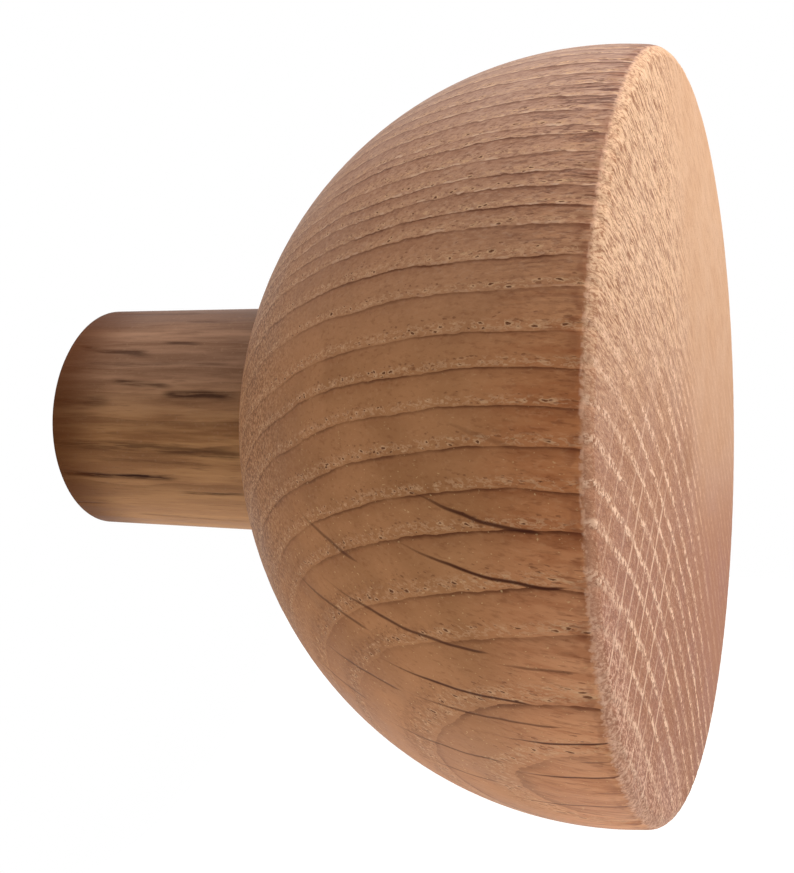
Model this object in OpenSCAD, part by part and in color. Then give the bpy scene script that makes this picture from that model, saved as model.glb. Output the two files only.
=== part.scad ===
// Turned oak wall coat hook: a domed head on a round neck, held to the wall
// by a threaded insert, a hanger bolt and a nylon wall plug.
// The wall is the plane y = 0, the hook stands out along -Y, and the fixings
// behind the wall plane run along +Y. Z is up.

/* [Head] */
// Widest diameter of the turned head
head_d = 80; // [64:1:110]
// How far the middle of the head's ball shape lies behind the flat front face
face_setback = 7.2; // [3:0.1:12]
// Rounding of the edge between the front face and the dome
rim_r = 1.6; // [0.5:0.1:2.5]
// Depth of the drilled socket that the neck is glued into, at the dome's surface
socket_depth = 14; // [8:1:20]

/* [Neck] */
// Distance from the wall to the front face of the head
projection = 71; // [66:1:90]
// Diameter of the neck
neck_d = 26.4; // [20:0.2:32]
// Chamfer round the neck's edge at the wall
wall_chamfer = 0.3; // [0.1:0.1:1]
// Chamfer round the neck's edge at the bottom of the socket
lead_chamfer = 1; // [0.5:0.1:2]
// Number of glue flutes cut along the glued part of the neck
flute_count = 3; // [3:1:8]
// Width of a glue flute
flute_w = 1.6; // [1:0.1:2.5]
// Depth of a glue flute
flute_depth = 0.6; // [0.3:0.1:1]
// Radial room for glue between the neck and its socket
glue_gap = 0.05; // [0.02:0.01:0.15]

/* [Threaded insert] */
// Length of the insert, its flange included
insert_len = 15; // [12:1:18]
// Diameter of the insert's body between its knife threads
insert_body_d = 8.8; // [8:0.1:9.5]
// Diameter over the insert's knife threads
insert_knife_d = 10.6; // [10:0.1:12]
// Pitch of the knife threads
insert_pitch = 2.5; // [2:0.1:3]
// Diameter of the insert's flange
flange_d = 13; // [12:0.5:16]
// Thickness of the insert's flange
flange_t = 1.2; // [0.8:0.1:2]
// Width across the flats of the insert's hexagon socket
hex_flats = 6.4; // [6.3:0.1:7]
// Depth of the insert's hexagon socket
hex_depth = 4; // [2:0.5:6]

/* [Hanger bolt] */
// Diameter over the machine thread
machine_d = 6; // [5.5:0.1:6]
// Core diameter of the machine thread
machine_core_d = 4.9; // [4.5:0.1:5.2]
// Pitch of the machine thread
machine_pitch = 1; // [0.8:0.05:1.25]
// Length of machine thread in front of the wall plane
machine_len = 17; // [12:1:20]
// Length of plain shank behind the wall plane
shank_len = 5; // [3:1:10]
// Diameter of the plain shank
shank_d = 5.4; // [5:0.1:6]
// Diameter over the wood thread
wood_d = 5.8; // [5:0.1:6]
// Core diameter of the wood thread
wood_core_d = 4.2; // [3.8:0.1:4.6]
// Pitch of the wood thread
wood_pitch = 2.6; // [2:0.1:3]
// Length of the bolt's pointed tip
tip_len = 6; // [4:0.5:8]
// How far the tip stands out of the plug's far end
tip_out = 3; // [1:0.5:6]
// Width across the flats of the drive recess in the bolt's machine end
drive_flats = 3; // [2:0.1:3.5]
// Depth of that drive recess
drive_depth = 2.5; // [1.5:0.1:4]

/* [Wall plug] */
// Outer diameter of the wall plug
plug_d = 8; // [8:0.1:10]
// Length of the wall plug
plug_len = 40; // [34:1:50]
// Length of the plug's solid collar at the wall surface
collar_len = 9; // [6:1:12]
// Length of the ring that joins the plug's legs at its far end
nose_len = 3; // [2:0.5:5]
// Width of the slots between the plug's legs
slot_w = 1.2; // [0.8:0.1:1.6]
// Number of grip grooves round the plug's legs
groove_count = 8; // [4:1:9]
// Depth of a grip groove
groove_depth = 0.3; // [0.1:0.05:0.4]
// Length of a grip groove along the plug
groove_w = 0.9; // [0.4:0.1:1.2]
// Chamfer round the plug's far end
nose_chamfer = 0.6; // [0.3:0.1:0.8]

/* [Clearances] */
// Radial room between parts that thread into each other
thread_gap = 0.05; // [0.03:0.01:0.1]
// Radial room round the bolt in its blind hole in the neck
bolt_hole_gap = 0.4; // [0.2:0.1:1]
// Length of blind hole left free in front of the bolt's end
bolt_end_room = 2; // [1:0.5:4]

/* [Hidden] */
$fn = 96;
cut = 1;                 // how far a cutting solid runs past the face it cuts
rim_steps = 8;           // facets round the rim's rounding
tip_r = 0.2;             // blunt end of the bolt's point
ball_r = head_d / 2;
neck_r = neck_d / 2;
ball_z = projection - face_setback;
dome_start_z = ball_z - sqrt(pow(ball_r, 2) - pow(neck_r, 2));
socket_floor_z = dome_start_z + socket_depth;
bolt_hole_depth = max(machine_len, insert_len) + bolt_end_room;
wood_end = plug_len + tip_out - tip_len;
wood_turns = floor((wood_end - shank_len) / wood_pitch);
slot_len = plug_len - collar_len - nose_len;
groove_step = slot_len / groove_count;
oak = "#b5835a";
oak_neck = "#8f6442";
zinc = "#b8b9b4";
steel = "#9da2a8";
nylon = "#b9bbb8";

// Turns a shape drawn with z as the distance in front of the wall into place
module from_wall() {
    rotate([90, 0, 0]) children();
}

// Outline of one thread as [radius, height] points: root, flank, crest, flank
function thread_points(start_z, turns, pitch, core_r, crest_r) = [
    for (turn = [0 : turns - 1], corner = [[0.1, 0], [0.35, 1], [0.55, 1], [0.8, 0]])
        [core_r + corner[1] * (crest_r - core_r), start_z + (turn + corner[0]) * pitch]
];

// A solid rod with a thread on part of it, all in ring form round the z axis
module threaded_rod(low_z, high_z, start_z, turns, pitch, core_r, crest_r) {
    rotate_extrude()
        polygon(concat(
            [[0, low_z], [core_r, low_z]],
            thread_points(start_z, turns, pitch, core_r, crest_r),
            [[core_r, high_z], [0, high_z]]
        ));
}

// Outline of the head's front, from the flat face round the rim to beyond the dome
function front_points() = let (
    centre_z = projection - rim_r,
    centre_r = sqrt(pow(ball_r - rim_r, 2) - pow(face_setback - rim_r, 2)),
    dome_angle = atan2(centre_z - ball_z, centre_r),
    step = (90 - dome_angle) / rim_steps,
    arc = [for (i = [0 : rim_steps])
        let (angle = dome_angle + i * step)
        [centre_r + rim_r * cos(angle), centre_z + rim_r * sin(angle)]],
    outer = arc[0] + (arc[0] - arc[1]) * 2
) concat([[0, 0], [ball_r + cut, 0], [ball_r + cut, outer[1]], outer], arc, [[0, projection]]);

module head() {
    color(oak) from_wall()
        difference() {
            intersection() {
                translate([0, 0, ball_z]) sphere(r = ball_r);
                rotate_extrude() polygon(front_points());
            }
            translate([0, 0, dome_start_z - ball_r])
                cylinder(r = neck_r + glue_gap, h = ball_r + socket_depth);
        }
}

// The neck's blank: a dowel with a fine chamfer at the wall and a larger one inside
module dowel() {
    rotate_extrude()
        polygon([
            [0, 0], [neck_r - wall_chamfer, 0], [neck_r, wall_chamfer],
            [neck_r, socket_floor_z - lead_chamfer],
            [neck_r - lead_chamfer, socket_floor_z], [0, socket_floor_z]
        ]);
}

module glue_flutes() {
    flute_start_z = dome_start_z + lead_chamfer + flute_w;
    for (i = [0 : flute_count - 1])
        rotate([0, 0, i * 360 / flute_count])
            translate([neck_r - flute_depth, -flute_w / 2, flute_start_z])
                cube([flute_depth + cut, flute_w, socket_floor_z - flute_start_z + cut]);
}

// Outside of the insert; grow adds radial room, for the hole that it is driven into
module insert_outside(grow = 0) {
    core_r = insert_body_d / 2 + grow;
    thread_len = insert_len - flange_t;
    turns = floor(thread_len / insert_pitch);
    cylinder(r = flange_d / 2 + grow, h = flange_t);
    threaded_rod(0, insert_len, flange_t, turns, insert_pitch, core_r, insert_knife_d / 2 + grow);
}

module neck() {
    color(oak_neck) from_wall()
        difference() {
            dowel();
            glue_flutes();
            insert_outside(thread_gap);
            translate([0, 0, -cut])
                cylinder(r = flange_d / 2 + thread_gap, h = cut + flange_t / 2);
            cylinder(r = machine_d / 2 + bolt_hole_gap, h = bolt_hole_depth);
        }
}

// Machine-thread end of the bolt; grow adds radial room, for the insert's inner thread
module machine_end(grow = 0) {
    turns = floor(machine_len / machine_pitch);
    threaded_rod(-shank_len / 2, machine_len, 0, turns, machine_pitch,
                 machine_core_d / 2 + grow, machine_d / 2 + grow);
}

module threaded_insert() {
    color(zinc) from_wall()
        difference() {
            insert_outside();
            machine_end(thread_gap);
            translate([0, 0, -cut])
                cylinder(d = hex_flats / cos(30), h = hex_depth + cut, $fn = 6);
            translate([0, 0, -cut])
                cylinder(r = machine_core_d / 2 + thread_gap, h = insert_len + 2 * cut);
        }
}

// Wood-thread end of the bolt with its plain shank and point, behind the wall plane
module wood_end_outside(grow = 0) {
    core_r = wood_core_d / 2 + grow;
    shank_r = shank_d / 2 + grow;
    rotate_extrude()
        polygon(concat(
            [[0, 0], [shank_r, 0], [shank_r, -shank_len], [core_r, -shank_len]],
            [for (p = thread_points(shank_len, wood_turns, wood_pitch, core_r, wood_d / 2 + grow))
                [p[0], -p[1]]],
            [[core_r, -wood_end], [tip_r + grow, -wood_end - tip_len], [0, -wood_end - tip_len]]
        ));
}

module hanger_bolt() {
    color(steel) from_wall()
        difference() {
            union() {
                machine_end();
                wood_end_outside();
            }
            translate([0, 0, machine_len - drive_depth])
                cylinder(d = drive_flats / cos(30), h = drive_depth + cut, $fn = 6);
        }
}

module plug_slots() {
    for (turn = [0, 90])
        rotate([0, 0, turn])
            translate([-plug_d / 2 - cut, -slot_w / 2, -collar_len - slot_len])
                cube([plug_d + 2 * cut, slot_w, slot_len]);
}

module plug_grooves() {
    for (i = [0 : groove_count - 1])
        translate([0, 0, -collar_len - (i + 0.5) * groove_step - groove_w / 2])
            difference() {
                cylinder(r = plug_d / 2 + cut, h = groove_w);
                translate([0, 0, -cut])
                    cylinder(r = plug_d / 2 - groove_depth, h = groove_w + 2 * cut);
            }
}

module wall_plug() {
    nose_r = plug_d / 2 - nose_chamfer;
    color(nylon) from_wall()
        difference() {
            rotate_extrude()
                polygon([
                    [0, 0], [plug_d / 2, 0], [plug_d / 2, nose_chamfer - plug_len],
                    [nose_r, -plug_len], [0, -plug_len]
                ]);
            wood_end_outside(thread_gap);
            translate([0, 0, -shank_len])
                cylinder(r = machine_d / 2 + thread_gap, h = shank_len + cut);
            plug_slots();
            plug_grooves();
        }
}

head();
neck();
threaded_insert();
hanger_bolt();
wall_plug();
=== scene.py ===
import math

import bpy
from mathutils import Matrix, Vector, noise as rough_noise


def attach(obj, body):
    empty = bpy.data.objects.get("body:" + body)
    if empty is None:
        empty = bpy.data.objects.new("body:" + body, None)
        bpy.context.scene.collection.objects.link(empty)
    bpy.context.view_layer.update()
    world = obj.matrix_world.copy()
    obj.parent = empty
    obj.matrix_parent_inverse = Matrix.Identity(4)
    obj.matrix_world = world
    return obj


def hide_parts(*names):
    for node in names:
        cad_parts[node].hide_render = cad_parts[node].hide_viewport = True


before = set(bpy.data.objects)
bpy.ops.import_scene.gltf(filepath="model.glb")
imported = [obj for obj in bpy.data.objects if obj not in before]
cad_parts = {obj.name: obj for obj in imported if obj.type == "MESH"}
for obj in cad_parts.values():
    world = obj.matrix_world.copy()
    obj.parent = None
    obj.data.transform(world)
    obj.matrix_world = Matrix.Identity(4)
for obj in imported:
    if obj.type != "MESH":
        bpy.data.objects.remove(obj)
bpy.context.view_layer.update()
bpy.ops.object.select_all(action="DESELECT")


# The wall plug: moulded from grey nylon, 8 mm across and 40 mm long, and pushed flush into a hole drilled in
# the wall. Two crossing slots leave four barbed legs, held together by a ring at the end.
PLUG_RADIUS, PLUG_LENGTH = 0.004, 0.040
# The bore's radius round the bolt's shank, round its thread and at the nose, and where along the plug the
# first becomes the second
SHANK_BORE, THREAD_BORE, NOSE_BORE = 0.00305, 0.00295, 0.00165
BORE_STEP = (0.005, 0.006)
COLLAR_END, NOSE_START = 0.009, 0.037
MOUTH_CHAMFER, NOSE_CHAMFER = 0.0003, 0.0006
PLUG_SOFTNESS = 0.00008
SLOT_WIDTH, SLOT_REACH = 0.0012, 0.012
BARBS, BARB_DEPTH = 8, 0.00035
BARB_STEP = (NOSE_START - COLLAR_END) / BARBS
# Shares of a step: where the groove starts, and from there where its floor, its slope and the full width end
GROOVE_START, FLOOR_END, SLOPE_END, WIDE_END = 0.12, 0.2, 0.55, 0.85


def outline_object(name, outline, closed):
    """An outline of (radius, place along the hook) points, drawn corner by corner from a single point."""
    bpy.ops.mesh.primitive_plane_add(size=0.001, location=(0, 0, 0))
    drawn = bpy.context.object
    drawn.name = drawn.data.name = name
    bpy.ops.object.mode_set(mode="EDIT")
    bpy.ops.mesh.select_all(action="SELECT")
    bpy.ops.mesh.merge(type="CENTER")
    corners = [Vector((radius, along, 0)) for radius, along in outline]
    bpy.ops.transform.translate(value=corners[0])
    for start, end in zip(corners, corners[1:] + corners[:1] * closed):
        bpy.ops.mesh.extrude_vertices_move(TRANSFORM_OT_translate={"value": end - start})
    bpy.ops.mesh.select_all(action="SELECT")
    bpy.ops.mesh.remove_doubles(threshold=1e-7)
    return drawn


def turned(name, outline, steps=96):
    """An outline turned round the hook's axis, as on a lathe, into a closed solid."""
    made = outline_object(name, outline, True)
    bpy.ops.object.mode_set(mode="OBJECT")
    apply(made, "SCREW", axis="Y", angle=2 * math.pi, screw_offset=0, steps=steps, render_steps=steps,
          use_merge_vertices=True, merge_threshold=1e-6)
    bpy.ops.object.mode_set(mode="EDIT")
    finish_mesh()
    return made


def finish_mesh():
    """Closes the seam and the poles and turns the faces outwards."""
    bpy.ops.mesh.select_all(action="SELECT")
    bpy.ops.mesh.remove_doubles(threshold=1e-6)
    bpy.ops.mesh.dissolve_degenerate(threshold=1e-7)
    bpy.ops.mesh.delete_loose(use_verts=True, use_edges=True, use_faces=False)
    bpy.ops.mesh.select_all(action="SELECT")
    bpy.ops.mesh.normals_make_consistent(inside=False)
    bpy.ops.object.mode_set(mode="OBJECT")


def apply(piece, kind, **settings):
    modifier = piece.modifiers.new(kind.lower(), kind)
    for key, value in settings.items():
        setattr(modifier, key, value)
    bpy.context.view_layer.objects.active = piece
    bpy.ops.object.modifier_apply(modifier=modifier.name)


def cut_away(piece, tool):
    """Takes the tool's shape out of the piece, and the tool away."""
    apply(piece, "BOOLEAN", operation="DIFFERENCE", object=tool, solver="EXACT")
    bpy.data.objects.remove(tool)


def one_object(name, pieces):
    bpy.ops.object.select_all(action="DESELECT")
    for piece in pieces:
        piece.select_set(True)
    bpy.context.view_layer.objects.active = pieces[0]
    bpy.ops.object.join()
    joined = bpy.context.object
    joined.name = joined.data.name = name
    return joined


def soften(piece, width, angle=32):
    """Breaks the sharp edges a little and shades the rest smoothly."""
    apply(piece, "BEVEL", width=width, segments=2, limit_method="ANGLE", angle_limit=math.radians(angle))
    bpy.ops.object.select_all(action="DESELECT")
    piece.select_set(True)
    bpy.context.view_layer.objects.active = piece
    bpy.ops.object.shade_smooth_by_angle(angle=math.radians(angle))


def set_in(piece, node):
    """The piece stands for that CAD node, whose own mesh it hides, and moves with the hook."""
    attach(piece, "root")
    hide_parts(node)


def step(tree, kind, inputs=(), **settings):
    """One node of a finish; inputs gives its sockets in order, or by name, as values or as other sockets."""
    made = tree.nodes.new("ShaderNode" + kind)
    for key, value in settings.items():
        setattr(made, key, value)
    for key, value in (inputs.items() if isinstance(inputs, dict) else enumerate(inputs)):
        if isinstance(value, bpy.types.NodeSocket):
            tree.links.new(value, made.inputs[key])
        elif value is not None:
            made.inputs[key].default_value = value
    return made


def calc(tree, operation, *values):
    return step(tree, "Math", values, operation=operation).outputs[0]


def times(tree, *values):
    product = values[0]
    for value in values[1:]:
        product = calc(tree, "MULTIPLY", product, value)
    return product


def between(tree, value, low, high, at_low=0.0, at_high=1.0):
    """A soft step: at_low below low, at_high above high."""
    made = step(tree, "MapRange", (value, low, high, at_low, at_high), interpolation_type="SMOOTHSTEP")
    return made.outputs[0]


def hump(tree, value, low, start, end, high):
    """Rises from low to start, stays at 1, and falls from end to high."""
    return times(tree, between(tree, value, low, start), between(tree, value, end, high, 1.0, 0.0))


def blend(tree, amount, first, second):
    made = step(tree, "Mix", data_type="RGBA")
    for socket, value in ((made.inputs[0], amount), (made.inputs[6], first), (made.inputs[7], second)):
        if isinstance(value, bpy.types.NodeSocket):
            tree.links.new(value, socket)
        else:
            socket.default_value = value
    return made.outputs[2]


def rgb(red, green, blue):
    """A colour as a paint chart gives it, 0 to 255, in the linear values that a shader takes."""
    return tuple((part / 255 / 12.92 if part < 10.3 else ((part / 255 + 0.055) / 1.055) ** 2.4)
                 for part in (red, green, blue)) + (1.0,)


def cloud(tree, place, size, stretch=(1, 1, 1), detail=2.0, roughness=0.5):
    """Soft random variation, 0 to 1, in patches of that size in millimetres, longer where stretched."""
    scale = tuple(1 / (size * part) for part in stretch)
    spot = step(tree, "VectorMath", (place, scale), operation="MULTIPLY")
    return step(tree, "TexNoise", {"Vector": spot.outputs[0], "Scale": 1.0, "Detail": detail,
                                   "Roughness": roughness}).outputs[0]


def start_finish(name):
    """A new material with its shader, and the place on the piece in millimetres."""
    material = bpy.data.materials.new(name)
    material.use_nodes = True
    tree = material.node_tree
    shader = next(node for node in tree.nodes if node.type == "BSDF_PRINCIPLED")
    spot = step(tree, "TexCoord").outputs["Object"]
    place = step(tree, "VectorMath", {0: spot, "Scale": 1000.0}, operation="SCALE").outputs[0]
    return material, tree, shader, place


def finish_with(tree, shader, colour, roughness, height, depth):
    """Feeds a finish to its shader; depth is the height's full relief in millimetres."""
    tree.links.new(colour, shader.inputs["Base Color"])
    tree.links.new(roughness, shader.inputs["Roughness"])
    relief = step(tree, "Bump", {"Strength": 1.0, "Distance": depth / 1000, "Height": height})
    tree.links.new(relief.outputs[0], shader.inputs["Normal"])


def put_on(piece, material):
    piece.data.materials.clear()
    piece.data.materials.append(material)


outline = [(SHANK_BORE, 0.0), (PLUG_RADIUS - MOUTH_CHAMFER, 0.0), (PLUG_RADIUS, MOUTH_CHAMFER),
           (PLUG_RADIUS, COLLAR_END)]
for barb in range(BARBS):
    start = COLLAR_END + (barb + GROOVE_START) * BARB_STEP
    outline += [(PLUG_RADIUS - BARB_DEPTH, start),
                (PLUG_RADIUS - BARB_DEPTH, start + FLOOR_END * BARB_STEP),
                (PLUG_RADIUS, start + SLOPE_END * BARB_STEP),
                (PLUG_RADIUS, start + WIDE_END * BARB_STEP)]
outline += [(PLUG_RADIUS, PLUG_LENGTH - NOSE_CHAMFER), (PLUG_RADIUS - NOSE_CHAMFER, PLUG_LENGTH),
            (NOSE_BORE, PLUG_LENGTH), (THREAD_BORE, NOSE_START), (THREAD_BORE, BORE_STEP[1]),
            (SHANK_BORE, BORE_STEP[0])]
plug = turned("plug", outline)
for sideways, upright in ((SLOT_REACH, SLOT_WIDTH), (SLOT_WIDTH, SLOT_REACH)):
    bpy.ops.mesh.primitive_cube_add(size=1, location=(0, (COLLAR_END + NOSE_START) / 2, 0),
                                    scale=(sideways, NOSE_START - COLLAR_END, upright))
    cut_away(plug, bpy.context.object)
soften(plug, PLUG_SOFTNESS)
set_in(plug, "wall_plug")

nylon, tree, shader, place = start_finish("plug_nylon")
flow = cloud(tree, place, 2.2, (1, 6, 1), 3.0, 0.55)
grains = cloud(tree, place, 0.12, detail=2.0)
tone = blend(tree, between(tree, flow, 0.3, 0.7), rgb(172, 175, 172), rgb(190, 192, 188))
along = step(tree, "SeparateXYZ", (place,)).outputs[1]
rubbed = times(tree, hump(tree, along, 8.0, 10.0, 36.0, 38.0),
               between(tree, cloud(tree, place, 0.8), 0.5, 0.7))
tone = blend(tree, times(tree, rubbed, 0.35), tone, rgb(206, 207, 203))
finish_with(tree, shader, tone, between(tree, flow, 0.3, 0.7, 0.42, 0.56), grains, 0.012)
shader.inputs["IOR"].default_value = 1.53
put_on(plug, nylon)


# The hanger bolt: rolled steel, M6 x 60, zinc plated. Its machine thread goes 17 mm into the neck, its coarse
# wood thread goes into the plug, and a 3 mm hexagon recess in the machine end lets it be driven.
BOLT_RADIUS, BOLT_CORE, BOLT_PITCH, BOLT_FRONT = 0.0030, 0.00245, 0.001, -0.017
SHANK_RADIUS, SHANK_END = 0.0027, 0.005
# How far the shank runs on inside both threads, and how much thinner it is in front and behind there
SHANK_LAP, FRONT_THINNER, BACK_THINNER = 0.0005, 0.0004, 0.0005
BOLT_SOFTNESS = 0.00004
WOOD_RADIUS, WOOD_CORE, WOOD_PITCH, WOOD_END, TIP_END = 0.0029, 0.0021, 0.0026, 0.037, 0.0429
DRIVE_FLATS, DRIVE_DEPTH = 0.003, 0.0025
# What is left of the rod's width at its front, drawn in over a short lead, and at its point
FRONT_LEAD, FRONT_LEFT, POINT_LEFT = 0.0007, 0.82, 0.07
# How far a key's recess is cut past the end of the piece
CUT_ROOM = 0.001


def threaded(name, low, high, pitch, ridge, steps=32):
    """A threaded rod from low to high: one turn's outline wound up the hook's axis and sawn off square."""
    # The outline starts a hair further on than a whole turn, so that no corner lies on a saw cut
    made = outline_object(name, [(radius, low + (part - 1.013) * pitch) for radius, part in ridge], False)
    bpy.ops.object.mode_set(mode="OBJECT")
    apply(made, "SCREW", axis="Y", angle=2 * math.pi, screw_offset=pitch, steps=steps, render_steps=steps,
          iterations=math.ceil((high - low) / pitch) + 2, use_merge_vertices=True, merge_threshold=1e-6)
    bpy.ops.object.mode_set(mode="EDIT")
    for place, side in ((low, -1), (high, 1)):
        bpy.ops.mesh.select_all(action="SELECT")
        bpy.ops.mesh.bisect(plane_co=(0, place, 0), plane_no=(0, side, 0), use_fill=True, clear_outer=True,
                            threshold=1e-7)
    finish_mesh()
    return made


def pointed(piece, start, end, scale):
    """Draws the rod in towards its end."""
    for corner in piece.data.vertices:
        part = (corner.co.y - start) / (end - start)
        if part > 0:
            draw = 1 + (scale - 1) * min(part, 1)
            corner.co.x *= draw
            corner.co.z *= draw


def hexagon_tool(across_flats, low, high):
    bpy.ops.mesh.primitive_cylinder_add(vertices=6, radius=across_flats / math.sqrt(3), depth=high - low,
                                        location=(0, (low + high) / 2, 0), rotation=(math.pi / 2, 0, 0))
    return bpy.context.object


machine_end = threaded("machine_end", BOLT_FRONT, 0.0, BOLT_PITCH,
                       [(BOLT_CORE, 0), (BOLT_CORE, 0.24), (BOLT_RADIUS, 0.56), (BOLT_RADIUS, 0.68),
                        (BOLT_CORE, 1)])
pointed(machine_end, BOLT_FRONT + FRONT_LEAD, BOLT_FRONT, FRONT_LEFT)
cut_away(machine_end, hexagon_tool(DRIVE_FLATS, BOLT_FRONT - CUT_ROOM, BOLT_FRONT + DRIVE_DEPTH))
shank = turned("shank", [(0, -SHANK_LAP), (SHANK_RADIUS - FRONT_THINNER, -SHANK_LAP), (SHANK_RADIUS, 0.0),
                         (SHANK_RADIUS, SHANK_END), (SHANK_RADIUS - BACK_THINNER, SHANK_END + SHANK_LAP),
                         (0, SHANK_END + SHANK_LAP)])
wood_end = threaded("wood_end", SHANK_END, TIP_END, WOOD_PITCH,
                    [(WOOD_CORE, 0), (WOOD_CORE, 0.62), (WOOD_RADIUS, 0.79), (WOOD_RADIUS, 0.83),
                     (WOOD_CORE, 1)])
pointed(wood_end, WOOD_END, TIP_END, POINT_LEFT)
bolt = one_object("bolt", [machine_end, shank, wood_end])
soften(bolt, BOLT_SOFTNESS)
set_in(bolt, "hanger_bolt")

zinc_plate, tree, shader, place = start_finish("bolt_zinc_plate")
patches = cloud(tree, place, 3.0, (1, 2, 1), 3.0, 0.6)
rolled = cloud(tree, place, 0.25, (3, 0.25, 3), 2.0, 0.6)
tone = blend(tree, between(tree, patches, 0.32, 0.68), rgb(176, 182, 190), rgb(202, 200, 190))
tone = blend(tree, between(tree, cloud(tree, place, 0.6), 0.62, 0.8, 0.0, 0.35), tone, rgb(138, 140, 142))
finish_with(tree, shader, tone, between(tree, patches, 0.3, 0.7, 0.24, 0.40), rolled, 0.006)
shader.inputs["Metallic"].default_value = 1.0
put_on(bolt, zinc_plate)


# The threaded insert: die-cast zinc, driven into the neck's wall end with a hexagon key until its flange lies
# flush. Its coarse knife threads grip the wood, and the bolt runs in its inner thread.
INSERT_LENGTH, INSERT_BODY, INSERT_KNIFE, KNIFE_PITCH = 0.015, 0.0044, 0.0053, 0.0025
FLANGE_RADIUS, FLANGE_THICKNESS = 0.0065, 0.0012
FLANGE_CHAMFER, FLANGE_TAPER = 0.0002, 0.0003
INSERT_SOFTNESS = 0.00006
LEAD_LENGTH, LEAD_LEFT = 0.0025, 0.84
KEY_FLATS, KEY_DEPTH = 0.0064, 0.004
BOLT_ROOM = 0.00003
# The tool that bores it right through is longer than the insert
BORER_LENGTH = 0.02

barrel = threaded("barrel", -INSERT_LENGTH, -FLANGE_THICKNESS / 2, KNIFE_PITCH,
                  [(INSERT_BODY, 0), (INSERT_BODY, 0.53), (INSERT_KNIFE, 0.74), (INSERT_KNIFE, 0.785),
                   (INSERT_BODY, 1)])
pointed(barrel, -INSERT_LENGTH + LEAD_LENGTH, -INSERT_LENGTH, LEAD_LEFT)
flange = turned("flange", [(0, 0), (FLANGE_RADIUS - FLANGE_CHAMFER, 0), (FLANGE_RADIUS, -FLANGE_CHAMFER),
                           (FLANGE_RADIUS - FLANGE_TAPER, -FLANGE_THICKNESS), (0, -FLANGE_THICKNESS)])
apply(barrel, "BOOLEAN", operation="UNION", object=flange, solver="EXACT")
bpy.data.objects.remove(flange)
bpy.ops.mesh.primitive_cylinder_add(vertices=64, radius=BOLT_RADIUS + BOLT_ROOM, depth=BORER_LENGTH,
                                    location=(0, -INSERT_LENGTH / 2, 0), rotation=(math.pi / 2, 0, 0))
cut_away(barrel, bpy.context.object)
cut_away(barrel, hexagon_tool(KEY_FLATS, -KEY_DEPTH, CUT_ROOM))
insert = barrel
insert.name = insert.data.name = "insert"
soften(insert, INSERT_SOFTNESS)
set_in(insert, "threaded_insert")

cast_zinc, tree, shader, place = start_finish("insert_cast_zinc")
skin = cloud(tree, place, 0.9, detail=4.0, roughness=0.65)
speck = cloud(tree, place, 0.16, detail=2.0)
tone = blend(tree, between(tree, skin, 0.35, 0.65), rgb(158, 159, 155), rgb(186, 186, 180))
finish_with(tree, shader, tone, between(tree, speck, 0.3, 0.7, 0.34, 0.50), speck, 0.015)
shader.inputs["Metallic"].default_value = 1.0
put_on(insert, cast_zinc)


# The neck: a dowel of darker oak, 26.4 mm across, its grain along the hook; its greyer top is a painted
# sheen. Its wall end is sawn square with a fine chamfer and drilled for the insert, and its front 14 mm are
# glued into the head.
# Width of a growth ring in millimetres, and how its level lies across the dowel: share of x, share of z
NECK_RING, LEVEL_SIDE, LEVEL_UP = 3.1, 0.34, 0.94
# Dark vessel streaks: angle from the left side upwards, drift a millimetre, from and to ahead of the wall,
# half width in degrees, strength
STREAKS = [
    (-29.0, -0.10, 0.2, 17.0, 1.8, 1.0), (-38.0, -0.05, 16.0, 25.5, 1.0, 0.85),
    (-13.0, -0.12, -1.0, 27.0, 2.8, 0.6), (9.0, -0.10, -1.0, 9.0, 3.6, 0.5),
    (21.0, -0.35, 8.0, 17.0, 2.0, 0.7), (13.0, -0.12, 15.0, 25.5, 2.6, 0.85),
    (38.0, -0.35, 1.5, 13.0, 2.2, 0.7), (29.0, -0.10, 3.0, 24.0, 1.6, 0.35),
    (43.0, -0.15, 13.0, 19.0, 1.6, 0.65), (60.0, -0.1, 14.0, 21.0, 1.5, 0.45),
    (-50.0, -0.10, -1.0, 6.0, 0.9, 0.6), (2.0, -0.08, 1.0, 7.0, 1.4, 0.4),
    (-20.0, -0.1, 6.0, 22.0, 1.0, 0.3), (71.0, -0.1, 2.0, 16.0, 2.0, 0.35),
    (-61.0, 0.0, 8.0, 24.0, 1.5, 0.3),
]


def vessels(tree, grain, cell, length, size):
    """Vessels cut open by the surface: 1 inside, and 1 on the lip round them."""
    scale = (1 / cell, 1 / length, 1 / cell)
    spot = step(tree, "VectorMath", (grain, scale), operation="MULTIPLY").outputs[0]
    bent = step(tree, "TexNoise", {"Vector": spot, "Scale": 2.2, "Detail": 1.0}).outputs[1]
    bent = step(tree, "VectorMath", {0: bent, "Scale": 0.55}, operation="SCALE").outputs[0]
    spot = step(tree, "VectorMath", (spot, bent), operation="ADD").outputs[0]
    cells = step(tree, "TexVoronoi", {"Vector": spot, "Scale": 1.0, "Randomness": 1.0})
    chance = step(tree, "SeparateColor", (cells.outputs["Color"],)).outputs[0]
    radius = times(tree, size, calc(tree, "MULTIPLY_ADD", chance, 0.8, 0.45))
    depth = calc(tree, "SUBTRACT", radius, cells.outputs["Distance"])
    inside = between(tree, depth, -0.03, 0.07)
    lip = times(tree, between(tree, depth, -0.22, -0.06), between(tree, depth, -0.03, 0.03, 1.0, 0.0),
                between(tree, radius, 0.10, 0.2))
    return inside, lip


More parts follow.
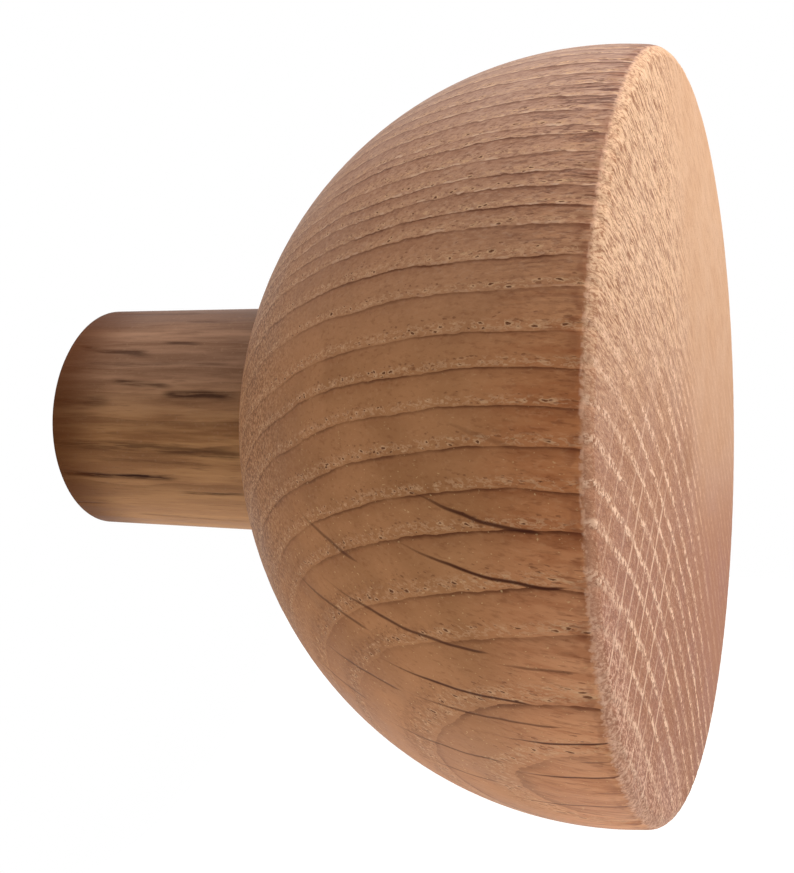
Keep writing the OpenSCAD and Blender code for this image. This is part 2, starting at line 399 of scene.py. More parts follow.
neck_oak, tree, shader, place = start_finish("neck_oak")
x, y, z = step(tree, "SeparateXYZ", (place,)).outputs
ahead = times(tree, y, -1.0)
on_side = between(tree, ahead, 0.02, 0.2)
sway = calc(tree, "SUBTRACT", cloud(tree, place, 5.0, (1, 2.5, 1)), 0.5)
angle = calc(tree, "DEGREES", calc(tree, "ARCTAN2", z, times(tree, x, -1.0)))
angle = calc(tree, "ADD", angle, times(tree, sway, 7.0))
broken = between(tree, cloud(tree, place, 0.34, (1, 16, 1), 3.0, 0.6), 0.36, 0.54, 0.35, 1.0)
streaks = 0.0
for centre, drift, start, end, width, strength in STREAKS:
    middle = calc(tree, "MULTIPLY_ADD", ahead, drift, centre)
    off = calc(tree, "ABSOLUTE", calc(tree, "SUBTRACT", angle, middle))
    mark = times(tree, between(tree, off, width * 0.2, width * 1.2, strength, 0.0),
                 hump(tree, ahead, start - 0.6, start + 1.5, end - 3.0, end))
    streaks = calc(tree, "MAXIMUM", mark, streaks)
streaks = times(tree, streaks, broken, on_side)

# Growth rings run nearly level through the dowel, so they show as bands along it
level = calc(tree, "ADD", times(tree, z, LEVEL_UP), times(tree, x, LEVEL_SIDE))
bent = calc(tree, "SUBTRACT", cloud(tree, place, 7.0, (1, 3, 1)), 0.5)
level = calc(tree, "ADD", level, times(tree, bent, 3.0))
late = calc(tree, "FRACT", calc(tree, "MULTIPLY_ADD", level, 1 / NECK_RING, 0.5))
bands = cloud(tree, place, 1.3, (1, 14, 1), 4.0, 0.58)
threads = cloud(tree, place, 0.22, (1, 14, 1), 2.0, 0.6)
mottle = cloud(tree, place, 0.35, (1, 1.5, 1), 2.0, 0.6)
# Painted light: greyer above for a painted sheen of the light from above, lighter tan below for painted light
# bounced up from below
underside = between(tree, z, 7.0, -3.0)
darker = blend(tree, underside, rgb(112, 80, 62), rgb(124, 80, 46))
lighter = blend(tree, underside, rgb(150, 114, 92), rgb(172, 126, 82))
tone = blend(tree, between(tree, bands, 0.36, 0.66), darker, lighter)
# Painted bounce light: lighter tan towards the underside
tone = blend(tree, between(tree, z, 0.0, -13.0, 0.1, 0.6), tone, rgb(186, 142, 104))
# Painted sheen: a greyer band along the very top
tone = blend(tree, between(tree, z, 9.5, 12.5, 0.0, 0.75), tone, rgb(104, 78, 66))
tone = blend(tree, times(tree, calc(tree, "POWER", late, 3.0), 0.35), tone, rgb(96, 62, 40))
tone = blend(tree, between(tree, threads, 0.55, 0.75, 0.0, 0.35), tone, rgb(92, 62, 44))
tone = blend(tree, between(tree, mottle, 0.55, 0.8, 0.0, 0.3), tone, rgb(160, 126, 98))
tone = blend(tree, times(tree, streaks, 0.98), tone, rgb(46, 18, 5))
# Painted shadow where the neck meets the wall: a dark contact line at the chamfer, and painted shade fading
# out over 9 mm
tone = blend(tree, between(tree, ahead, 0.15, 0.55, 0.85, 0.0), tone, rgb(52, 34, 26))
tone = blend(tree, between(tree, ahead, 0.4, 9.0, 0.8, 0.0), tone, rgb(84, 42, 10))
# The sawn wall end shows the grain end on: open vessels along each ring, and pale rays across the rings
cross = calc(tree, "SUBTRACT", times(tree, x, LEVEL_UP), times(tree, z, LEVEL_SIDE))
rays = cloud(tree, step(tree, "CombineXYZ", (cross, 0.0, level)).outputs[0], 0.4, (1, 1, 16), 2.0)
pore = vessels(tree, place, 0.40, 8.0, times(tree, hump(tree, late, 0.0, 0.1, 0.35, 0.55), 0.27))[0]
end_tone = blend(tree, late, rgb(184, 144, 108), rgb(146, 106, 76))
end_tone = blend(tree, between(tree, mottle, 0.5, 0.7, 0.0, 0.3), end_tone, rgb(88, 58, 38))
end_tone = blend(tree, between(tree, rays, 0.58, 0.68, 0.0, 0.5), end_tone, rgb(206, 168, 132))
end_tone = blend(tree, times(tree, pore, 0.8), end_tone, rgb(56, 32, 20))
tone = blend(tree, on_side, end_tone, tone)
height = calc(tree, "SUBTRACT", times(tree, calc(tree, "ADD", threads, mottle), 0.4), streaks)
finish_with(tree, shader, tone, between(tree, bands, 0.3, 0.7, 0.46, 0.60), height, 0.05)
shader.inputs["Specular IOR Level"].default_value = 0.06
put_on(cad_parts["neck"], neck_oak)


# The head: a ball of light oak, 80 mm across, turned to a flat end-grain face, sanded and oiled. A 26.5 mm
# socket is drilled 14 mm deep into its back for the neck. The soft spring wood is worn back at the rim.
BALL_RADIUS, BALL_CENTRE, FACE = 0.03999, -0.0638, -0.071
SOCKET_RADIUS, SOCKET_FLOOR = 0.01325, -0.04004
RIM_RADIUS, SOCKET_EDGE = 0.0016, 0.00015
# Wear of the rim: its depth, and in millimetres how far it reaches back and inwards, the radius from which
# it is full, and the width of the soft band outside each ring edge
WEAR_DEPTH = 0.00022
WEAR_BACK, WEAR_INWARDS, RIM_MM, SOFT_MM = 4.0, 3.0, 39.2, 0.9
# In millimetres: the face before the wall, and the line of the tree's pith, its place at the face and
# its lean
FACE_MM = 71.0
PITH_X, PITH_Z, LEAN_X, LEAN_Z = 62.28, 79.70, 0.33, -0.07
# Ring edges met by the head, in millimetres from the pith
RING_EDGES = [
    55.0, 57.6, 60.1, 62.6, 65.2, 69.2, 72.0, 75.9, 78.6, 81.7, 84.8, 87.7, 90.5, 94.1, 97.0, 99.8, 101.5,
    103.4, 104.9, 106.9, 109.2, 110.2, 112.4, 114.6, 116.4, 118.5, 120.7, 123.2, 125.0, 127.3, 129.1, 131.4,
    133.2, 135.1, 137.3, 139.0, 141.2, 143.0, 145.0,
]


def ring_reach(x, y, z):
    """Distance from the tree's pith, which leans a little to the hook's axis; all in millimetres."""
    behind = y + FACE_MM
    return math.hypot(x + PITH_X + LEAN_X * behind, z + PITH_Z + LEAN_Z * behind)


rim_centre = math.sqrt((BALL_RADIUS - RIM_RADIUS) ** 2 - (BALL_CENTRE - FACE - RIM_RADIUS) ** 2)
rim_start = math.atan2(BALL_CENTRE - FACE - RIM_RADIUS, rim_centre)
back_angle = math.acos((SOCKET_RADIUS + SOCKET_EDGE) / BALL_RADIUS)
outline = [(0, SOCKET_FLOOR), (SOCKET_RADIUS, SOCKET_FLOOR),
           (SOCKET_RADIUS, BALL_CENTRE + BALL_RADIUS * math.sin(back_angle) - SOCKET_EDGE)]
DOME_STEPS, RIM_STEPS, FACE_STEPS = 56, 14, 32
for count in range(DOME_STEPS):
    angle = back_angle + (-rim_start - back_angle) * math.sin(math.pi / 2 * count / DOME_STEPS) ** 0.9
    outline.append((BALL_RADIUS * math.cos(angle), BALL_CENTRE + BALL_RADIUS * math.sin(angle)))
for count in range(RIM_STEPS + 1):
    angle = rim_start + (math.pi / 2 - rim_start) * count / RIM_STEPS
    outline.append((rim_centre + RIM_RADIUS * math.cos(angle),
                    FACE + RIM_RADIUS - RIM_RADIUS * math.sin(angle)))
for count in range(1, FACE_STEPS):
    outline.append((rim_centre * (1 - (count / FACE_STEPS) ** 1.5), FACE))
outline.append((0, FACE))
hook_head = turned("hook_head", outline, 800)


def wear(piece):
    """Wears the soft spring wood, just outside each ring edge, back along the rim."""
    mesh = piece.data
    mesh.update()
    normals = [corner.normal.copy() for corner in mesh.vertices]
    for corner, normal in zip(mesh.vertices, normals):
        x, y, z = corner.co * 1000
        radius = math.hypot(x, z)
        closeness = min(1 - (y + FACE_MM) / WEAR_BACK, 1 - (RIM_MM - radius) / WEAR_INWARDS)
        # The right side is worn less
        closeness *= 1 - 0.85 * min(1, max(0, x / 12))
        if closeness <= 0:
            continue
        reach = ring_reach(x, y, z)
        inside = max(edge for edge in RING_EDGES if edge <= reach)
        past = (reach - inside) / SOFT_MM
        soft = max(0.0, 1 - abs(past - 0.5) / 0.6)
        rough = rough_noise.noise((x * 2.2, y * 0.8, z * 2.2)) * 0.5 + 0.5
        corner.co -= normal * WEAR_DEPTH * closeness * (0.25 * rough + soft * (0.3 + 0.9 * rough))
    mesh.update()


wear(hook_head)
set_in(hook_head, "head")

# Broad rays, planes of pale tissue that stand out dark where the dome cuts them along: angle in the fan,
# from and to behind the face, strength
DOME_RAYS = [
    (50.89, 4.0, 15.5, 0.95), (49.55, 2.5, 17.0, 1.0), (48.33, 21.0, 28.0, 0.6), (47.05, 9.5, 26.0, 0.85),
    (46.25, 21.0, 30.0, 0.65), (45.30, 6.5, 21.0, 0.95), (44.35, 4.5, 19.0, 0.7), (46.75, 2.5, 9.0, 0.6),
    (43.45, -1.0, 10.5, 1.0), (44.25, 19.0, 28.0, 0.65), (41.90, 10.5, 22.5, 0.65), (41.45, -1.0, 10.5, 0.9),
    (39.05, -1.0, 13.0, 0.7), (42.60, 24.0, 31.0, 0.55), (40.20, 12.0, 20.0, 0.55), (36.60, 0.0, 8.0, 0.5),
    (52.60, 6.0, 12.0, 0.25), (42.45, 1.0, 4.0, 0.5), (40.30, 1.0, 4.0, 0.4),
]
# Where the same rays reach the face they are pale: angle, from and to away from the fan's line, strength
FACE_RAYS = [
    (43.45, 125, 166, 1.0), (41.40, 122, 165, 0.9), (38.80, 120, 158, 0.8), (46.45, 132, 162, 0.8),
    (45.30, 128, 160, 0.6), (44.35, 130, 172, 0.45), (42.45, 126, 160, 0.5), (40.30, 126, 164, 0.5),
    (47.60, 138, 170, 0.5), (36.90, 124, 150, 0.4), (49.50, 140, 165, 0.35), (50.90, 142, 160, 0.3),
]

# The rays fan out from a line further off than the pith: its place at the face and its lean
FAN_X, FAN_Z, FAN_LEAN_X, FAN_LEAN_Z = 127.48, 117.49, 0.7357, 0.667

head_oak, tree, shader, place = start_finish("head_oak")
x, y, z = step(tree, "SeparateXYZ", (place,)).outputs
behind = calc(tree, "ADD", y, FACE_MM)
# Across the grain, measured from the pith
across = calc(tree, "ADD", x, calc(tree, "MULTIPLY_ADD", behind, LEAN_X, PITH_X))
upwards = calc(tree, "ADD", z, calc(tree, "MULTIPLY_ADD", behind, LEAN_Z, PITH_Z))
grain = step(tree, "CombineXYZ", (across, y, upwards)).outputs[0]
reach = calc(tree, "SQRT", calc(tree, "ADD", times(tree, across, across), times(tree, upwards, upwards)))
sway = calc(tree, "SUBTRACT", cloud(tree, grain, 7.0, (1, 2, 1), 1.0), 0.5)
ragged = calc(tree, "SUBTRACT", cloud(tree, grain, 0.8, (1, 3, 1), 2.0, 0.6), 0.5)
ragged = times(tree, ragged, between(tree, z, 4.0, 24.0, 0.30, 0.65), between(tree, x, 4.0, 16.0, 1.0, 0.4))
reach = calc(tree, "ADD", reach, calc(tree, "ADD", sway, ragged))
span = RING_EDGES[-1] - RING_EDGES[0]
from_first = calc(tree, "SUBTRACT", reach, RING_EDGES[0])
rings = step(tree, "FloatCurve", {"Value": calc(tree, "DIVIDE", from_first, span)})
curve = rings.mapping.curves[0]
for count, edge in enumerate(RING_EDGES[1:-1], 1):
    curve.points.new((edge - RING_EDGES[0]) / span, count / (len(RING_EDGES) - 1))
for point in curve.points:
    point.handle_type = "VECTOR"
rings.mapping.update()
years = times(tree, rings.outputs[0], len(RING_EDGES) - 1.0)
year = calc(tree, "FLOOR", years)
part = calc(tree, "FRACT", years)
# Chance makes some rings stronger than others
luck = step(tree, "TexWhiteNoise", {"W": year}, noise_dimensions="1D").outputs[0]
width = between(tree, reach, 96.0, 99.0, 3.0, 2.1)
after = times(tree, part, width)
before = times(tree, calc(tree, "SUBTRACT", 1.0, part), width)
frayed = calc(tree, "SUBTRACT", cloud(tree, grain, 0.45, (1, 3, 1), 3.0, 0.7), 0.5)
frayed = times(tree, frayed, between(tree, z, -8.0, -18.0, 0.2, 1.0))
past_edge = calc(tree, "ADD", behind, frayed)
# The face's colours end on the rounded rim, 0.6 to 1 mm behind the face, along a frayed line
on_face = between(tree, past_edge, 0.58, 0.98, 1.0, 0.0)
off_face = calc(tree, "SUBTRACT", 1.0, on_face)
in_rim = between(tree, behind, 1.0, 12.0, 1.0, 0.0)

# Ring edge, a thin dark line with a brown shade inside it
line_strength = times(tree, between(tree, luck, 0.0, 1.0, 0.55, 1.0),
                      between(tree, cloud(tree, grain, 3.0, (1, 2, 1), 2.0), 0.3, 0.6, 0.45, 1.0),
                      between(tree, behind, 15.0, 34.0, 1.0, 0.6), between(tree, reach, 62.0, 66.0, 0.3, 1.0))
low_back = times(tree, between(tree, z, -6.0, -18.0), between(tree, behind, 8.0, 22.0))
top_rim = times(tree, between(tree, z, 4.0, 22.0), in_rim)
thinned = calc(tree, "DIVIDE", before, calc(tree, "MULTIPLY_ADD", top_rim, 0.9, 1.0))
line = times(tree, between(tree, thinned, 0.04, 0.30, 1.0, 0.0), line_strength,
             calc(tree, "MULTIPLY_ADD", low_back, -0.85, 1.0))
# Near the rim at the top a ring often shows two or three lines
double = calc(tree, "ADD", hump(tree, before, 0.50, 0.60, 0.66, 0.80),
              hump(tree, before, 0.95, 1.05, 1.10, 1.22))
double = times(tree, double, top_rim, between(tree, cloud(tree, grain, 3.5, (1, 2, 1)), 0.46, 0.58))
shade = times(tree, between(tree, before, 0.0, 1.3, 1.0, 0.0), line_strength)
shade = times(tree, shade, calc(tree, "MULTIPLY_ADD", between(tree, z, 2.0, 24.0), 0.5, 1.0))
# Vessels of the spring wood, just outside the edge
band = hump(tree, after, 0.0, 0.2, 0.65, 1.05)
pore, lip = vessels(tree, grain, 0.50, 1.8, times(tree, band, 0.20))
fine_pore = vessels(tree, grain, 0.33, 1.8, times(tree, hump(tree, after, 0.0, 0.3, 1.0, 1.8), 0.24))[0]
squiggle = cloud(tree, grain, 0.34, (1, 2.5, 1), 2.0, 0.6)
squiggle = times(tree, hump(tree, squiggle, 0.50, 0.56, 0.60, 0.66), band)
# Fibres, seen along near the rim and end on further back
fibre = cloud(tree, grain, 0.34, (1, 12, 1), 3.0, 0.6)
patch = cloud(tree, grain, 6.0, (1, 1.6, 1), 3.0, 0.55)
mottle = cloud(tree, grain, 0.42, (1, 1.6, 1), 2.0, 0.6)
dash = times(tree, between(tree, cloud(tree, grain, 0.28, (1, 9, 1), 2.0, 0.55), 0.56, 0.68), in_rim)

# Broad rays
beside_fan = calc(tree, "ADD", x, calc(tree, "MULTIPLY_ADD", behind, FAN_LEAN_X, FAN_X))
above_fan = calc(tree, "ADD", z, calc(tree, "MULTIPLY_ADD", behind, FAN_LEAN_Z, FAN_Z))
ray_angle = calc(tree, "DEGREES", calc(tree, "ARCTAN2", above_fan, beside_fan))
wobble = calc(tree, "SUBTRACT", cloud(tree, place, 4.0, detail=1.0), 0.5)
ray_angle = calc(tree, "ADD", ray_angle, times(tree, wobble, 0.22))
ray_reach = calc(tree, "SQRT", calc(tree, "ADD", times(tree, beside_fan, beside_fan),
                                    times(tree, above_fan, above_fan)))
dark_rays, pale_rays = 0.0, 0.0
for centre, start, end, strength in DOME_RAYS:
    off = calc(tree, "ABSOLUTE", calc(tree, "SUBTRACT", ray_angle, centre))
    ends = hump(tree, behind, start - 0.5, start + 0.8, end - 0.45 * (end - start), end)
    wide = calc(tree, "MULTIPLY_ADD", ends, 0.045, 0.02)
    mark = times(tree, between(tree, calc(tree, "DIVIDE", off, wide), 0.25, 1.2, strength, 0.0),
                 calc(tree, "POWER", ends, 0.6))
    dark_rays = calc(tree, "MAXIMUM", mark, dark_rays)
for centre, start, end, strength in FACE_RAYS:
    off = calc(tree, "ABSOLUTE", calc(tree, "SUBTRACT", ray_angle, centre))
    mark = times(tree, between(tree, off, 0.03, 0.11, strength, 0.0),
                 hump(tree, ray_reach, start - 4.0, start + 4.0, end - 10.0, end))
    pale_rays = calc(tree, "MAXIMUM", mark, pale_rays)
dark_rays = times(tree, dark_rays, off_face, between(tree, x, 12.0, 4.0, 0.2, 1.0))
pale_rays = times(tree, pale_rays, on_face,
                  between(tree, cloud(tree, place, 1.6, detail=1.0), 0.3, 0.5, 0.4, 1.0))

# The dome's colours: redder at the rim, greyer over the top (painted sheen), lighter below (painted bounce
# light), duller round the back
upper = between(tree, z, 2.0, 30.0)
rim_red = times(tree, in_rim, between(tree, z, -2.0, 14.0, 1.0, 0.1))
tone = blend(tree, between(tree, patch, 0.34, 0.66), rgb(158, 108, 69), rgb(177, 124, 83))
tone = blend(tree, between(tree, luck, 0.6, 1.0, 0.0, 0.25), tone, rgb(182, 130, 88))
tone = blend(tree, between(tree, behind, 18.0, 46.0, 0.0, 0.55), tone, rgb(124, 82, 54))
# Painted bounce light: the lower dome lighter, as if lit from below
tone = blend(tree, times(tree, between(tree, z, -14.0, -32.0), off_face, 0.45), tone, rgb(182, 130, 96))
tone = blend(tree, times(tree, rim_red, 0.65), tone, rgb(188, 118, 74))
# Painted bounce light: the lower rim lighter still
tone = blend(tree, times(tree, in_rim, between(tree, z, -3.0, -20.0), 0.75), tone, rgb(210, 152, 112))
# Painted sheen: greyer over the top, and greyer still at the very top
tone = blend(tree, times(tree, upper, 0.9), tone, rgb(179, 137, 113))
tone = blend(tree, between(tree, z, 22.0, 36.0, 0.0, 0.6), tone, rgb(170, 140, 124))
tone = blend(tree, times(tree, between(tree, cloud(tree, grain, 1.0, (1, 8, 1), 2.0), 0.46, 0.62), in_rim,
                         between(tree, z, 16.0, 6.0), 0.4), tone, rgb(146, 78, 40))
tone = blend(tree, times(tree, shade, calc(tree, "MULTIPLY_ADD", rim_red, 0.25, 0.34)), tone,
             rgb(112, 58, 30))
tone = blend(tree, between(tree, mottle, 0.52, 0.74, 0.0, 0.22), tone, rgb(190, 142, 102))
tone = blend(tree, between(tree, fibre, 0.28, 0.48, 0.34, 0.0), tone, rgb(116, 66, 38))
tone = blend(tree, times(tree, between(tree, fibre, 0.54, 0.72), in_rim, 0.4), tone, rgb(204, 146, 104))
tone = blend(tree, times(tree, dash, 0.35), tone, rgb(96, 44, 22))
# Over the top the fibres run out of the surface and leave short dark strokes
strokes = between(tree, cloud(tree, grain, 0.30, (1, 12, 1), 3.0, 0.65), 0.53, 0.62)
dabs = cloud(tree, grain, 0.34, (1, 3.5, 1), 2.0, 0.65)
rough_top = between(tree, z, 4.0, 24.0)
tone = blend(tree, times(tree, strokes, upper, calc(tree, "MULTIPLY_ADD", in_rim, 0.5, 0.3)), tone,
             rgb(88, 48, 38))
tone = blend(tree, times(tree, between(tree, dabs, 0.46, 0.36), rough_top, 0.26), tone, rgb(104, 64, 48))
tone = blend(tree, times(tree, between(tree, dabs, 0.54, 0.64), rough_top, 0.20), tone, rgb(212, 176, 148))
pale_edge = times(tree, hump(tree, after, 0.0, 0.06, 0.16, 0.32), rough_top,
                  between(tree, cloud(tree, grain, 0.7, (1, 2.5, 1), 2.0), 0.50, 0.60))
tone = blend(tree, times(tree, pale_edge, 0.5), tone, rgb(222, 186, 158))
# Round the neck the fibres stand end on again, and the cut is rougher
at_back = between(tree, behind, 26.0, 38.0)
speck = cloud(tree, grain, 0.30, (1, 1.6, 1), 2.0, 0.65)
tone = blend(tree, times(tree, between(tree, speck, 0.48, 0.41), at_back, 0.65), tone, rgb(92, 56, 34))
tone = blend(tree, times(tree, between(tree, speck, 0.53, 0.59), at_back, 0.60), tone, rgb(196, 152, 114))
open_spring = times(tree, hump(tree, after, 0.0, 0.3, 0.9, 1.7), between(tree, mottle, 0.38, 0.60), low_back)
tone = blend(tree, times(tree, open_spring, 0.5), tone, rgb(122, 76, 46))
tone = blend(tree, times(tree, squiggle, calc(tree, "MULTIPLY_ADD", low_back, -0.2, 0.42)), tone,
             rgb(206, 162, 124))
tone = blend(tree, times(tree, double, 0.75), tone, rgb(84, 44, 32))
tone = blend(tree, times(tree, line, 0.8), tone, rgb(78, 34, 12))
tone = blend(tree, times(tree, fine_pore, 0.45), tone, rgb(98, 52, 28))
tone = blend(tree, times(tree, lip, 0.6), tone, rgb(210, 166, 126))
flecks = between(tree, cloud(tree, place, 0.22, (1, 1.6, 1), 1.0), 0.70, 0.76)
tone = blend(tree, times(tree, flecks, between(tree, z, 12.0, -10.0), 0.6), tone, rgb(214, 176, 126))
tone = blend(tree, times(tree, pore, 0.8), tone, rgb(84, 42, 20))
tone = blend(tree, times(tree, dark_rays, 0.94), tone, rgb(62, 22, 6))
# The face's colours: smooth on the right, rough on the left with chains of pale open vessels
ring_angle = calc(tree, "DEGREES", calc(tree, "ARCTAN2", upwards, across))
polar = step(tree, "CombineXYZ", (reach, y, times(tree, ring_angle, 1.6))).outputs[0]
high_up = between(tree, z, -24.0, 28.0)
left_part = between(tree, calc(tree, "MULTIPLY_ADD", z, 0.33, x), -5.0, 13.0, 1.0, 0.18)
rounded = between(tree, behind, 0.01, 0.25)
texture = times(tree, left_part, calc(tree, "MULTIPLY_ADD", rounded, -0.35, 1.0))
lower = between(tree, z, 16.0, -4.0)
radius = calc(tree, "SQRT", calc(tree, "ADD", times(tree, x, x), times(tree, z, z)))
torn = times(tree, between(tree, radius, 31.0, 37.5), between(tree, z, -8.0, -20.0),
             between(tree, x, 4.0, -6.0), calc(tree, "MULTIPLY_ADD", rounded, -0.15, 1.0))
higher = calc(tree, "SUBTRACT", 1.0, lower)
face_band = times(tree, hump(tree, after, 0.35, 0.75, 1.0, 1.5), texture,
                  calc(tree, "MULTIPLY_ADD", lower, 0.75, 0.25))
beads = between(tree, cloud(tree, polar, 0.42, (1, 1.5, 1.1), 2.0, 0.6), 0.44, 0.53)
grit = cloud(tree, polar, 0.26, (1, 1.2, 1.8), 3.0, 0.65)
face_dabs = cloud(tree, polar, 0.20, (1, 1.2, 10.0), 2.0, 0.55)
# Lighter higher up and on the right above the bottom: partly the face's own tone, partly painted light from
# the upper right
face_tone = blend(tree, high_up, rgb(158, 102, 76), rgb(192, 150, 118))
lighter_upper_right = times(tree, between(tree, left_part, 0.0, 1.0, 1.0, 0.0), between(tree, z, -16.0, 0.0))
face_tone = blend(tree, times(tree, lighter_upper_right, 0.5), face_tone, rgb(206, 162, 126))
face_tone = blend(tree, between(tree, patch, 0.36, 0.64, 0.0, 0.22), face_tone, rgb(186, 142, 110))
inside_edge = times(tree, between(tree, before, 0.0, 0.9, 1.0, 0.0), texture, lower)
face_tone = blend(tree, times(tree, inside_edge, 0.35), face_tone, rgb(138, 84, 60))
face_tone = blend(tree, times(tree, between(tree, face_dabs, 0.46, 0.39), texture,
                              calc(tree, "MULTIPLY_ADD", higher, 0.55, 0.3)), face_tone, rgb(140, 90, 60))
face_tone = blend(tree, times(tree, between(tree, face_dabs, 0.47, 0.56), texture, higher, 0.75), face_tone,
                  rgb(234, 194, 158))
face_tone = blend(tree, times(tree, between(tree, grit, 0.48, 0.38), texture,
                              calc(tree, "MULTIPLY_ADD", lower, 0.35, 0.15)), face_tone, rgb(124, 76, 54))
face_tone = blend(tree, times(tree, between(tree, grit, 0.56, 0.66), texture, 0.35), face_tone,
                  rgb(238, 198, 166))
chains = times(tree, face_band, beads,
               between(tree, cloud(tree, polar, 1.1, (1, 1, 1.5)), 0.38, 0.52, 0.35, 1.0))
face_tone = blend(tree, times(tree, chains, 0.95), face_tone, rgb(240, 198, 168))
face_tone = blend(tree, times(tree, torn, 0.3), face_tone, rgb(178, 128, 106))
face_tone = blend(tree, times(tree, rounded, between(tree, z, -6.0, -18.0), 0.45), face_tone,
                  rgb(208, 160, 132))
face_tone = blend(tree, times(tree, between(tree, grit, 0.51, 0.57), torn, 0.65), face_tone,
                  rgb(228, 184, 158))
face_tone = blend(tree, times(tree, between(tree, grit, 0.48, 0.42), torn, 0.4), face_tone, rgb(128, 78, 52))
# A faint brown patch near the middle of the face, a painted dark reflection: how far right and down, half its
# width, half its height
REFLECTION_RIGHT, REFLECTION_DOWN, REFLECTION_WIDE, REFLECTION_HIGH = 2.0, 3.5, 6.5, 3.4
dark_reflection = step(tree, "CombineXYZ", (calc(tree, "DIVIDE", calc(tree, "SUBTRACT", x, REFLECTION_RIGHT), REFLECTION_WIDE),
                                  calc(tree, "DIVIDE", calc(tree, "ADD", z, REFLECTION_DOWN), REFLECTION_HIGH), 0.0))
dark_reflection = step(tree, "VectorMath", (dark_reflection.outputs[0],), operation="LENGTH").outputs["Value"]
# Painted dark reflection near the middle of the face
face_tone = blend(tree, between(tree, dark_reflection, 0.15, 1.1, 0.42, 0.0), face_tone, rgb(150, 100, 62))
face_tone = blend(tree, times(tree, pore, texture, 0.6), face_tone, rgb(118, 70, 46))
face_tone = blend(tree, times(tree, pale_rays, calc(tree, "MULTIPLY_ADD", rounded, -0.6, 1.0), 0.75),
                  face_tone, rgb(240, 200, 172))
# The dome's side of the edge is darker in places
browned = times(tree, hump(tree, past_edge, 0.7, 0.95, 1.3, 2.6),
                between(tree, cloud(tree, place, 1.2, detail=2.0), 0.42, 0.6), between(tree, x, 0.0, -8.0))
tone = blend(tree, times(tree, browned, 0.35), tone, rgb(112, 54, 30))
tone = blend(tree, on_face, tone, face_tone)
# A thin pale line on the left of the face's rounded edge: a painted highlight
edge_highlight = times(tree, hump(tree, past_edge, 0.56, 0.70, 0.86, 1.05), between(tree, x, 0.0, -8.0),
                 between(tree, cloud(tree, place, 0.6, detail=2.0), 0.44, 0.58))
tone = blend(tree, times(tree, edge_highlight, 0.4), tone, rgb(230, 182, 152))
height = times(tree, calc(tree, "ADD", fibre, mottle), 0.22)
hollows = calc(tree, "MAXIMUM", pore, times(tree, fine_pore, 0.5))
height = calc(tree, "SUBTRACT", height, times(tree, hollows, 0.45))
height = calc(tree, "SUBTRACT", height,
              calc(tree, "ADD", times(tree, dark_rays, 0.15), times(tree, line, 0.08)))
rough_face = times(tree, on_face, texture, calc(tree, "ADD", grit, times(tree, chains, 0.4)))
height = calc(tree, "ADD", height, rough_face)
finish_with(tree, shader, tone, between(tree, patch, 0.3, 0.7, 0.50, 0.62), height, 0.12)
shader.inputs["Specular IOR Level"].default_value = 0.10
put_on(hook_head, head_oak)


# The stage: a white board for the wall, just behind the neck, clear when it is seen from the back, and a
# plain pale floor well below the hook.
WHITE = (1, 1, 1, 1)
BOARD_RADIUS, BOARD_BEHIND = 0.055, 0.0005
FLOOR_SIZE, FLOOR_LEVEL = 6.0, -0.42


def seen_directly(tree):
    """1 for what the camera, a reflection or clear matter sees."""
    path = step(tree, "LightPath")
    seen = calc(tree, "MAXIMUM", path.outputs["Is Camera Ray"], path.outputs["Is Glossy Ray"])
    return calc(tree, "MAXIMUM", seen, path.outputs["Is Transmission Ray"])


board_white, tree, shader, place = start_finish("stage_board")
shader.inputs["Base Color"].default_value = (0.85, 0.85, 0.85, 1)
shader.inputs["Roughness"].default_value = 0.9
glow = step(tree, "Emission", (WHITE, 1.0)).outputs[0]
lit = step(tree, "MixShader", (seen_directly(tree), shader.outputs[0], glow)).outputs[0]
clear = step(tree, "BsdfTransparent").outputs[0]
lit = step(tree, "MixShader", (step(tree, "NewGeometry").outputs["Backfacing"], lit, clear)).outputs[0]
tree.links.new(lit, next(node for node in tree.nodes if node.type == "OUTPUT_MATERIAL").inputs["Surface"])
bpy.ops.object.select_all(action="DESELECT")
bpy.ops.mesh.primitive_circle_add(vertices=96, radius=BOARD_RADIUS, fill_type="NGON",
                                  location=(0, BOARD_BEHIND, 0), rotation=(math.pi / 2, 0, 0))
board = bpy.context.object
board.name = "stage_board"
board.visible_shadow = False
put_on(board, board_white)

floor_pale, tree, shader, place = start_finish("stage_floor")
shader.inputs["Base Color"].default_value = (0.80, 0.80, 0.79, 1)
shader.inputs["Roughness"].default_value = 0.9
glow = step(tree, "Emission", (WHITE, times(tree, seen_directly(tree), 0.6))).outputs[0]
lit = step(tree, "AddShader", (shader.outputs[0], glow)).outputs[0]
tree.links.new(lit, next(node for node in tree.nodes if node.type == "OUTPUT_MATERIAL").inputs["Surface"])
bpy.ops.mesh.primitive_plane_add(size=FLOOR_SIZE, location=(0, 0, FLOOR_LEVEL))
floor = bpy.context.object
floor.name = "stage_floor"
put_on(floor, floor_pale)

studio = bpy.data.worlds.new("studio")
bpy.context.scene.world = studio
studio.use_nodes = True
tree = studio.node_tree
daylight = next(node for node in tree.nodes if node.type == "BACKGROUND")
daylight.inputs[0].default_value = (1.0, 0.99, 0.98, 1)
daylight.inputs[1].default_value = 0.62
plain = step(tree, "Background", (WHITE, 1.0)).outputs[0]
sky = step(tree, "MixShader", (seen_directly(tree), daylight.outputs[0], plain)).outputs[0]
tree.links.new(sky, next(node for node in tree.nodes if node.type == "OUTPUT_WORLD").inputs["Surface"])

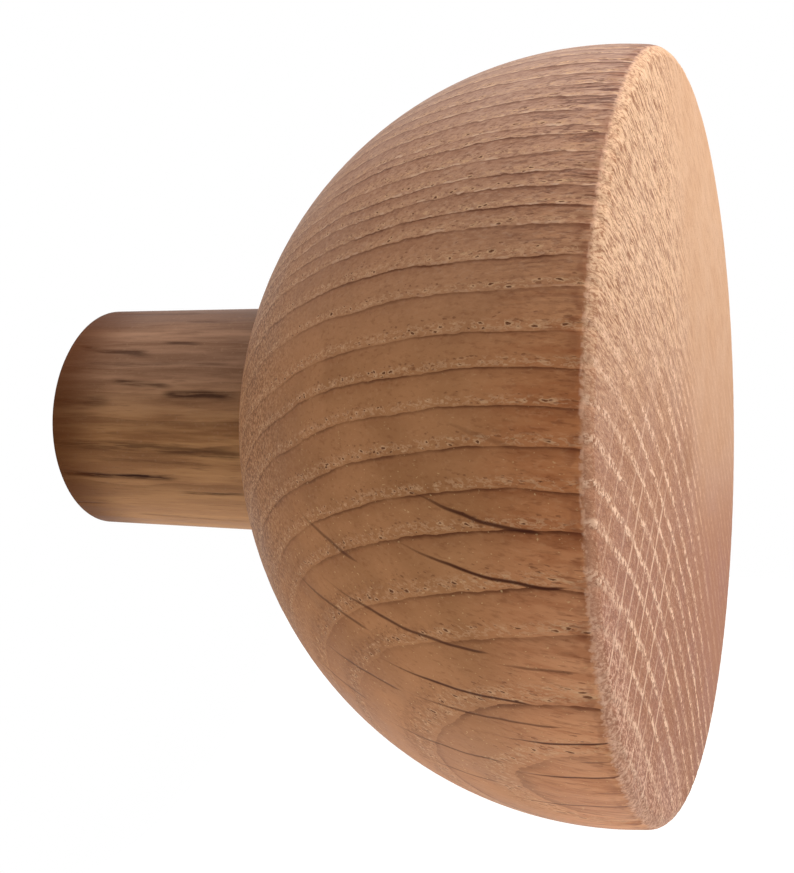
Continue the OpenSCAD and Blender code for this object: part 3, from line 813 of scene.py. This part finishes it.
# Name, where it stands, width, power, colour; all of them point at the middle of the head
LAMP_AIM = Vector((0, -0.05, 0))
LAMPS = [
    ("front_lamp", (0.0, -0.50, 0.05), 0.30, 0.50, (1.0, 0.98, 0.95)),
    ("near_lamp", (0.02, -0.17, 0.17), 0.10, 0.30, (1.0, 0.97, 0.92)),
    ("top_lamp", (0.0, -0.05, 0.45), 0.35, 0.60, (0.96, 0.98, 1.0)),
    ("low_lamp", (0.05, 0.06, -0.36), 0.40, 0.90, (1.0, 0.97, 0.94)),
]
for name, stand, width, power, colour in LAMPS:
    lamp_data = bpy.data.lights.new(name, "AREA")
    lamp_data.shape, lamp_data.size, lamp_data.energy, lamp_data.color = "DISK", width, power, colour
    lamp = bpy.data.objects.new(name, lamp_data)
    bpy.context.scene.collection.objects.link(lamp)
    lamp.location = stand
    lamp.rotation_euler = (LAMP_AIM - lamp.location).to_track_quat("-Z", "Y").to_euler()
    lamp.visible_glossy = name != "low_lamp"

# The camera stands close by, in front of the wall on the hook's left, and looks a little up
CAMERA_X, CAMERA_Y, CAMERA_Z = -0.129943, -0.093855, 0.002129
turn, tilt, roll = (math.radians(angle) for angle in (21.7453, -4.5347, 0.6629))
forward = Vector((math.cos(turn) * math.cos(tilt), math.sin(turn) * math.cos(tilt), -math.sin(tilt)))
right = Vector((math.sin(turn), -math.cos(turn), 0))
up = right.cross(forward)
right, up = (math.cos(roll) * right + math.sin(roll) * up, -math.sin(roll) * right + math.cos(roll) * up)
camera_data = bpy.data.cameras.new("camera")
camera_data.lens = 50.446
camera_data.shift_x, camera_data.shift_y = -0.0366, -0.15
camera_data.clip_start, camera_data.clip_end = 0.01, 10
camera = bpy.data.objects.new("camera", camera_data)
bpy.context.scene.collection.objects.link(camera)
camera.matrix_world = Matrix((
    (right.x, up.x, -forward.x, CAMERA_X),
    (right.y, up.y, -forward.y, CAMERA_Y),
    (right.z, up.z, -forward.z, CAMERA_Z),
    (0, 0, 0, 1),
))
bpy.context.scene.camera = camera
bpy.context.scene.view_settings.view_transform = "Standard"
